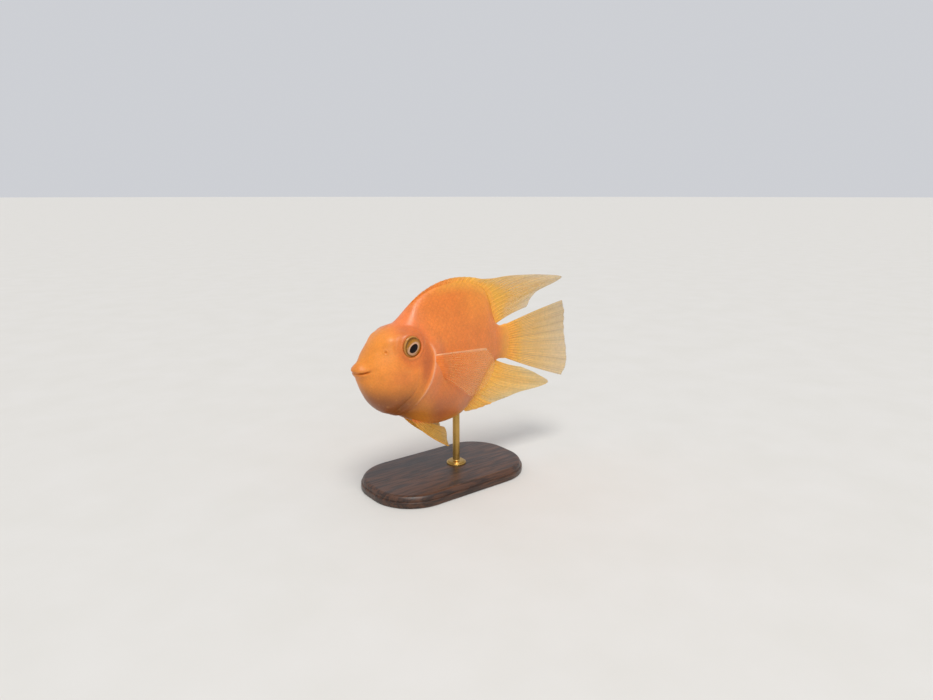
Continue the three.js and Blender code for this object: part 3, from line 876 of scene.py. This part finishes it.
class FinShape:
    """A fin's middle surface: rays from a base line to a tip line, bowed towards a middle line."""

    def __init__(self, base, middle, tips, sway=None):
        self.lines = [np.asarray(line, float) for line in (base, middle, tips)]
        self.sway = sway

    def at(self, s, r):
        base, middle, tips = (spline(line, s) for line in self.lines)
        r3 = r[..., None]
        p = base * (1 - r3) ** 2 + middle * 2 * r3 * (1 - r3) + tips * r3**2
        if self.sway:
            p[..., 1] += self.sway(s, r)
        return p


def middle_shape(base, tips, bow, sway):
    ends = np.array([[x, 0, z] for x, z in tips])
    middle = np.add(base, ends) / 2
    middle[:, 2] += bow
    return FinShape(base, middle, ends, sway)


def keel_line(edge, from_rib, to_rib, count, sink):
    s = sections(np.linspace(from_rib, to_rib, count))
    x, z = (s[:, 0], s[:, 1] - sink) if edge == "top" else (s[:, 2], s[:, 3] + sink)
    return np.stack([x, 0 * x, z], -1)


def ray_columns(groups):
    """Columns of a fin: groups of (number of rays, end share, columns per ray, is soft).

    Gives for each column its place s, its offset from its ray in ray widths, the ray's number and
    softness, and the width of a ray in s.
    """
    columns = []
    start = 0.0
    number = 0
    for count, end, per_ray, soft in groups:
        width = (end - start) / count
        for k in range(count):
            for j in range(per_ray):
                offset = j / per_ray - 0.5
                if not soft:
                    offset = math.copysign(abs(2 * offset) ** 1.5 / 2, offset)
                columns.append((start + (k + 0.5 + offset) * width, offset, number, soft, width))
            number += 1
        start = end
    columns.append((1.0, 0.5, number - 1, columns[-1][3], columns[-1][4]))
    return np.array(columns, float).T


def nearest_branch(offset, r, soft, forks):
    """Distance from the ray's nearest branch, in ray widths, and how often the ray has forked there."""
    away = np.abs(offset)
    share = 0.25
    forked = np.zeros(np.broadcast(offset, r).shape)
    for start, end in forks:
        opened = smooth(start, end, r) * soft
        away = np.abs(away - share * opened)
        forked = forked + opened
        share /= 2
    return away, forked


def fin_surface(shape, s, r):
    """The middle surface at s, r: points, normals, distance from the root, and millimetres per s."""
    d = 0.002
    low, high = np.clip(s - d, 0, 1), np.clip(s + d, 0, 1)
    across = (shape.at(high, r) - shape.at(low, r)) / (high - low)[..., None]
    low, high = np.clip(r - d, 0, 1), np.clip(r + d, 0, 1)
    out = (shape.at(s, high) - shape.at(s, low)) / (high - low)[..., None]
    normal = np.cross(across, out)
    normal /= np.linalg.norm(normal, axis=-1, keepdims=True)
    out /= np.linalg.norm(out, axis=-1, keepdims=True)
    breadth = np.linalg.norm(across - (across * out).sum(-1, keepdims=True) * out, axis=-1)
    centre = shape.at(s, r)
    steps = np.diff(centre, axis=1, prepend=centre[:, :1])
    return centre, normal, np.cumsum(np.linalg.norm(steps, axis=-1), axis=1), breadth


def fin_colour(look, s, r, reach, ridge, soft, bright):
    """Colour and clearness of a fin's points."""
    golden, middle, far = look["tones"]
    tender = soft * smooth(*look["tender"], s)
    edge = look["edge"] * fall(0.03, 0.09, s)
    layers = [
        (middle, smooth(0.08, 0.45, r) * tender),
        (far, smooth(0.4, 0.95, r) * tender),
        (look["spine"], 0.5 * ridge * (1 - 0.6 * r)),
        (look["root_tone"], fall(*look["skin"], reach)),
        (BACK, look["front"] * fall(0.2, 0.5, s)),
        (PECTORAL_EDGE, edge),
    ]
    light = mix(1.0, bright, smooth(0.1, 0.3, r)) * mix(0.94, 1.06, ridge)
    rgb = painted(golden, layers) * light[..., None]
    least = mix(0.92, look["clear"], tender)
    alpha = mix(1.0, least, smooth(0.05, 0.4, r))
    alpha = mix(alpha, least * 0.85, smooth(0.5, 1.0, r))
    alpha = mix(alpha, np.maximum(alpha, mix(*look["rays"], r)), ridge)
    alpha = np.maximum(alpha, 0.8 * edge)
    return rgb, np.clip(alpha * mix(1.0, bright, 0.6), 0, 1)


def build_fin(node, shape, groups, rows, thick, radii, forks, material, **own_look):
    """A closed fin: a thin membrane with a ridge along each ray on both faces, thick at its root."""
    name = node + "_skin"
    look = {**FIN_LOOK, **own_look}
    s, offset, number, soft, width = ray_columns(groups)
    number = number.astype(int)
    rng = np.random.default_rng(len(name))
    branch = number, ((offset + 0.5) * (BRANCHES - 0.01)).astype(int).clip(0, BRANCHES - 1)
    fray = rng.uniform(0.0, 1.0, (number.max() + 1, BRANCHES))[branch]
    bright = rng.uniform(0.88, 1.15, (number.max() + 1, BRANCHES))[branch][:, None]

    # the margin: the membrane is cut back between the tips of the rays, most between spines
    away, _ = nearest_branch(offset, np.ones(1), soft, forks)
    between_branches = 0.009 * smooth(0.0, 0.06, away) + 0.008 * fray
    cut = look["cut"] * np.where(soft > 0.5, between_branches, 0.08 * np.abs(2 * offset) ** 1.3)
    r = (np.linspace(0, 1, rows) ** 0.95)[None, :] * (1 - cut)[:, None]

    per_ray = np.bincount(number)[number][:, None]
    s, offset, number, soft, width = (column[:, None] for column in (s, offset, number, soft, width))
    centre, normal, reach, breadth = fin_surface(shape, np.broadcast_to(s, r.shape), r)
    ray_width = breadth * width
    away, forked = nearest_branch(offset, r, soft, forks)
    radius = mix(*radii, r) * 0.78**forked
    radius = np.maximum(radius, 1.1 * ray_width / per_ray)
    ridge = np.cos(np.minimum(away * ray_width / (1.5 * radius), 1) * math.pi / 2) ** 2
    radius = radius * mix(0.3, 1.0, smooth(0.5, look["buried"], reach))
    taper = np.maximum(1 - reach / look["flesh"], 0) ** 1.5 * (1 - 0.7 * (2 * s - 1) ** 4)
    flesh = (thick / 2 - 0.2) * smooth(0.0, 1.2, reach) * taper
    half = mix(0.16, 0.1, smooth(0.1, 0.7, r)) + flesh + radius * ridge
    # neighbouring rays lie a little to either side, as a fin half folded
    wave = np.cos(math.pi * (offset + number % 2)) * np.minimum(ray_width / 2.5, 1.2)
    pleat = look["pleat"] * smooth(0.1, 0.8, r) * wave * mix(0.3, 1.0, soft)
    sheets = np.stack([centre + normal * (pleat + sign * half)[..., None] for sign in (1, -1)])

    points = to_row(sheets.reshape(-1, 3))
    piece = make_mesh(name, points, facing_out(points, plate_faces(*r.shape)))
    for_both = np.ones((2, 1, 1))
    rgb, alpha = fin_colour(look, s, r, reach, ridge, soft, bright)
    add_colour(piece, rgb * for_both[..., None], alpha * for_both)
    add_number(piece, "ray", ridge * soft * for_both)
    add_number(piece, "along", r * for_both)
    settle(piece, material, "fin", node)


def build_fins(material):
    tips = [
        (44.5, 36.6), (53, 42.0), (65, 47.2), (78.5, 49.8), (93, 49.2),
        (112, 46.2), (146, 46.8), (185.5, 42.5), (157, 33), (146, 23),
    ]
    bow = [1, 1.2, 1.4, 1.4, 1.6, 3, 6, 5, 3, 2]
    shape = middle_shape(keel_line("top", 6.7, 13.3, 10, 2), tips, bow, swaying(3, 1.6, -0.5, 0))
    forks = [(0.1, 0.32), (0.28, 0.55), (0.5, 0.8)]
    radii = (0.3, 0.13)
    form = (shape, [(15, 0.5, 10, 0), (14, 1.0, 40, 1)], 68, 2.1, radii, forks, material)
    look = {"clear": 0.6, "front": 0.85, "tender": (0.47, 0.66), "flesh": 7.0}
    build_fin("dorsal_fin", *form, root_tone=ROOT_GOLD, tones=SOFT_FIN_TONES, **look)

    tips = [(90, -47.3), (104, -47.2), (120, -45), (141, -42), (170, -39.5), (158, -30), (142, -22)]
    bow = [-1, -2, -3, -4, -5, -4, -2]
    shape = middle_shape(keel_line("bottom", 10.2, 13.5, 7, 2), tips, bow, swaying(2.5, 1.5, 0.4, 0))
    form = (shape, [(4, 0.3, 12, 0), (9, 1.0, 40, 1)], 70, 2.1, radii, forks, material)
    look = {"clear": 0.78, "flesh": 7.0}
    build_fin("anal_fin", *form, root_tone=ROOT_GOLD, tones=ANAL_TONES, **look)

    tips = [(185.5, 24.5), (190, 15), (191, 6), (191, -4), (190.5, -14), (188, -25), (181, -34)]
    base = [(124.5, 0, z) for z in np.linspace(11.6, -12.2, 7)]
    bow = [1.5, 0.5, 0, 0, 0, -0.5, -1.5]
    shape = middle_shape(base, tips, bow, swaying(3.5, 1.4, 0.1, 0.6))
    form = (shape, [(16, 1.0, 32, 1)], 80, 4.4, radii, forks, material)
    look = {"pleat": 0.18, "clear": 0.64, "skin": (4.0, 12.0), "flesh": 16.0}
    build_fin("caudal_fin", *form, root_tone=ROOT_GOLD, tones=SOFT_FIN_TONES, **look)

    for side, word in SIDES:
        build_pelvic(side, word, material)
        build_pectoral(side, word, material)


def paired_shape(side, base, middle, tips, back, out):
    def place(line, share):
        p = np.array(line, float)
        p[:, 0] += back * share
        p[:, 1] = side * (p[:, 1] + out * share)
        return p

    return FinShape(place(base, 0.0), place(middle, 0.4), place(tips, 1.0))


def build_pelvic(side, word, material):
    base = [(38.5, 6.5, -39.5), (41, 6.2, -40.5), (43.5, 5.9, -41.7), (46, 5.5, -42.8), (48.5, 5, -43.8)]
    middle = [(44, 8.5, -52), (48.5, 8.2, -51), (52.5, 7.8, -50), (55.5, 7.2, -49.2), (57, 6.6, -48.4)]
    tips = [(71.5, 5.5, -68.5), (69, 6, -63.5), (68, 6.5, -59), (67.5, 6.5, -55), (66, 6, -52)]
    shape = paired_shape(side, base, middle, tips, 4 if side > 0 else 0, 0)
    groups = [(1, 0.12, 12, 0), (5, 1.0, 24, 1)]
    forks = [(0.2, 0.5), (0.5, 0.85)]
    look = {"tones": PELVIC_TONES, "pleat": 0.15, "clear": 0.86, "skin": (2.0, 7.0), "cut": 0.5}
    form = (shape, groups, 50, 2.4, (0.42, 0.2), forks, material)
    build_fin(f"pelvic_fin_{word}", *form, **look)


def build_pectoral(side, word, material):
    base = [(49.5, 15.5, 3.2), (50, 16.2, 0.2), (50.8, 16.6, -3), (51.6, 16.8, -6.3), (52.5, 16.8, -9.2)]
    middle = [(67, 25.5, 5.5), (69, 26.5, 0), (69, 27, -6), (67, 27, -12), (63, 25.5, -17)]
    tips = [(86, 27, 5), (91.5, 29, -3), (89.5, 30, -12.5), (82.5, 29.5, -21), (72.5, 27.5, -26.5)]
    shape = paired_shape(side, base, middle, tips, 0, 5 if side > 0 else 0)
    forks = [(0.3, 0.62), (0.62, 0.95)]
    look = {"tones": PECTORAL_TONES, "spine": PECTORAL_TONES[2], "edge": 0.7, "skin": (4.0, 12.0)}
    look |= {"clear": 0.14, "rays": (0.65, 0.24), "buried": 12.0, "flesh": 13.0}
    look |= {"pleat": 0.05, "cut": 0.5}
    form = (shape, [(13, 1.0, 16, 1)], 60, 3.2, (0.17, 0.06), forks, material)
    build_fin(f"pectoral_fin_{word}", *form, **look)


# Eyes


def build_eye(side, word, material):
    """A flattened ball, with its iris and slanted pupil on the part that the skin leaves open."""
    turn = np.linspace(0, math.pi, EYE_RINGS)[1:-1]
    turn = turn - 0.55 * np.sin(turn)  # finer on the front
    around = full_turn(EYE_SIDES)
    tt, aa = np.meshgrid(turn, around, indexing="ij")
    depth = EYE_RADIUS * EYE_FLATNESS
    x = EYE_RADIUS * np.sin(tt) * np.cos(aa)
    z = EYE_RADIUS * np.sin(tt) * np.sin(aa)
    grid = np.stack([x, depth * np.cos(tt), z], -1).reshape(-1, 3)
    local = np.vstack([grid, [0, depth, 0], [0, -depth, 0]])
    faces = capped_faces(len(turn), EYE_SIDES, turned=True)
    x, z = local[:, 0], local[:, 2]

    # pupil: an ellipse that leans back, a little below the middle
    px, pz = x + 0.1, z + 0.6
    lean = math.radians(42)
    long = px * math.cos(lean) + pz * math.sin(lean)
    short = -px * math.sin(lean) + pz * math.cos(lean)
    pupil = np.hypot(long / 3.35, short / 2.45)
    iris = np.hypot((x - 0.35) / 0.94, z)
    rng = np.random.default_rng(3)
    turn_angle = np.arctan2(pz, px)
    fibre = sum(
        a * np.sin(k * turn_angle + phase)
        for k, a, phase in zip((23, 37, 61, 89), (0.4, 0.35, 0.25, 0.2), rng.uniform(0, 6, 4))
    )
    # silver round the pupil, broad below and ahead of it, gold above it, and at the top a painted shadow
    # of the brow
    low_front = smooth(0.5, 4.5, -0.5 * px - 0.85 * pz)
    silver = np.maximum(0.85 * hill(pupil - 1.2, 0.2), 0.7 * low_front * fall(4.6, 6.0, iris))
    streak = np.clip(0.5 + 0.3 * fibre, 0, 1)[:, None]
    layers = [
        # painted shadow of the brow over the top of the iris
        (tone("#582e08"), 0.85 * smooth(0.0, 6.0, z - 0.4 * x) * smooth(3.5, 6.2, iris)),
        (mix(tone("#be9880"), tone("#dcb49c"), streak), silver),
        (tone("#0c0201"), fall(0.97, 1.05, pupil)),
        (tone("#5c3c12"), 0.8 * hill(iris - 5.85, 0.32)),
        (tone("#b8803e"), smooth(6.1, 6.35, iris)),
        (tone("#a85e26"), smooth(6.9, 7.1, iris)),
        (tone("#a85e26"), local[:, 1] < 0),
    ]
    rgb = painted(mix(tone("#966014"), tone("#c08430"), streak), layers)

    local[:, 1] += EYE[1]
    points = local + [EYE[0], 0, EYE[2]]
    points[:, 1] *= side
    name = f"eyeball_{word}"
    piece = make_mesh(name, to_row(points), faces if side > 0 else faces[:, ::-1])
    add_colour(piece, rgb)
    settle(piece, material, "eye", f"eye_{word}")


# Stand


def turned(name, profile, sides, centre):
    """A closed solid turned about a vertical line from (radius, height) pairs that start and end at 0."""
    profile = np.array(profile, float)
    around = full_turn(sides)
    radius, height = profile[1:-1, 0], profile[1:-1, 1]
    x = centre + radius[:, None] * np.cos(around)
    y = radius[:, None] * np.sin(around)
    z = np.broadcast_to(height[:, None], x.shape)
    middles = [[centre, 0, profile[0, 1]], [centre, 0, profile[-1, 1]]]
    points = np.vstack([np.stack([x, y, z], -1).reshape(-1, 3), middles])
    return make_mesh(name, points / 1000, capped_faces(len(radius), sides, turned=True), sharp=35)


def arc(centre, radius, start, end, count=7):
    angle = np.radians(np.linspace(start, end, count))
    return [(centre[0] + radius * math.cos(a), centre[1] + radius * math.sin(a)) for a in angle]


def build_rod(material):
    low, high = 1000 * ROD_LOW.z, 1000 * ROD_HIGH.z
    base_top = 1000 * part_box("stand_base")[1].z
    radius = 2.5
    profile = [(0, low), (radius - 0.3, low), (radius, low + 0.3), (radius, base_top)]
    profile.append((FLANGE_RADIUS, base_top))
    profile += arc((FLANGE_RADIUS - 0.5, base_top + 0.5), 0.5, 0, 90, 5)
    profile += arc((FLANGE_RADIUS - 1.9, base_top + 1.1), 0.9, 0, 90)
    profile += arc((radius + 0.9, base_top + 2.9), 0.9, 270, 180)
    profile += [(radius, high - 0.4), (radius - 0.4, high), (0, high)]
    piece = turned("rod", profile, 72, 1000 * (ROD_LOW.x + ROD_HIGH.x) / 2)
    settle(piece, material, "stand_brass", "stand_rod")


def build_base(material):
    low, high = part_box("stand_base")
    half = [500 * (high.x - low.x), 500 * (high.y - low.y)]
    height = 1000 * high.z
    # how far the outline is drawn in at each height, from the underside's edge to the top's middle
    profile = [(1.2, 0.0), (0.4, 0.3), (0.0, 1.0), (0.0, 3.9), (0.25, 4.3), (0.9, 4.5)]
    for a in np.linspace(0, math.pi / 2, 9):
        profile.append((0.9 + 2.9 * (1 - math.cos(a)), 5.0 + (height - 5.0) * math.sin(a)))
    inset, z = np.array(profile).T[..., None]
    corner = 30.0
    turn = np.radians(np.arange(0, 360, 90)[:, None] + np.linspace(0, 90, 24)).ravel()
    right, back = np.repeat([[1, -1, -1, 1], [1, 1, -1, -1]], 24, axis=1)
    x = right * (half[0] - corner) + (corner - inset) * np.cos(turn)
    y = back * (half[1] - corner) + (corner - inset) * np.sin(turn)
    rings = np.stack([x, y, z + 0 * x], -1)
    faces = capped_faces(*x.shape, turned=True)
    points = np.vstack([rings.reshape(-1, 3), [0, 0, 0], [0, 0, height]])
    piece = make_mesh("base", points / 1000, faces, sharp=30)
    settle(piece, material, "walnut", "stand_base")


# Camera, light and floor


def place_camera():
    a, e = math.radians(VIEW_AZIMUTH), math.radians(VIEW_ELEVATION)
    back = Vector((math.sin(a) * math.cos(e), -math.cos(a) * math.cos(e), math.sin(e)))
    right = Vector((0, 0, 1)).cross(back).normalized()
    up = back.cross(right)
    across = (AIM_PIXEL[0] - IMAGE[0] / 2) / FOCAL_PIXELS
    down = (AIM_PIXEL[1] - IMAGE[1] / 2) / FOCAL_PIXELS
    data = bpy.data.cameras.new("camera")
    data.sensor_width = 36
    data.lens = FOCAL_PIXELS / IMAGE[0] * data.sensor_width
    data.clip_start = 0.01
    camera = bpy.data.objects.new("camera", data)
    camera.matrix_world = Matrix((right, up, back)).transposed().to_4x4()
    camera.location = Vector(to_row(AIM)) + (AIM_DEPTH / 1000) * (back - across * right + down * up)
    bpy.context.scene.collection.objects.link(camera)
    bpy.context.scene.camera = camera


def aim_light(data, place):
    light = bpy.data.objects.new(data.name, data)
    light.location = place
    middle = Vector((0, 0, AXIS_HEIGHT / 1000))
    light.rotation_euler = (middle - Vector(place)).to_track_quat("-Z", "Y").to_euler()
    bpy.context.scene.collection.objects.link(light)


def build_studio():
    around = full_turn(128)
    rim = FLOOR_RADIUS * np.stack([np.cos(around), np.sin(around), 0 * around], -1)
    floor = make_mesh("floor", rim, [np.arange(len(rim))])
    m = Nodes("pale_floor")
    speckle = m.span(m.noise(0.05), 0.3, 0.7, 0.0, 1.0)
    colour = m.colour_mix(speckle, rgba("#d5d3ce"), rgba("#d8d6d2"))
    floor.data.materials.append(m.finished(Base_Color=colour, Roughness=0.85))
    world = bpy.data.worlds.new("studio")
    world.use_nodes = True
    sky = world.node_tree.nodes["Background"].inputs
    sky["Color"].default_value = (0.93, 0.95, 1.0, 1)
    sky["Strength"].default_value = SKY_STRENGTH
    bpy.context.scene.world = world
    key = bpy.data.lights.new("key", "SUN")
    key.energy = KEY_STRENGTH
    key.angle = math.radians(25)
    key.color = (1.0, 0.97, 0.92)
    aim_light(key, (-0.3, -0.6, 1.5))
    fill = bpy.data.lights.new("fill", "AREA")
    fill.shape = "DISK"
    fill.size = 0.6
    fill.energy = FILL_STRENGTH
    aim_light(fill, (-0.45, -0.85, 0.5))


def set_look():
    view = bpy.context.scene.view_settings
    view.view_transform = "Standard"
    view.look = "None"


build_skin(living_skin("fish_skin", 0.0))
flank = Flank()
# 0.16: strength of the painted shade along the scales' free edges
scales = living_skin("fish_scales", 0.16)
for side, word in SIDES:
    build_scales(flank, side, word, scales)
build_fins(fin_material())
eye = eye_material()
for side, word in SIDES:
    build_eye(side, word, eye)
build_base(walnut_material())
build_rod(brass_material())
place_camera()
build_studio()
set_look()
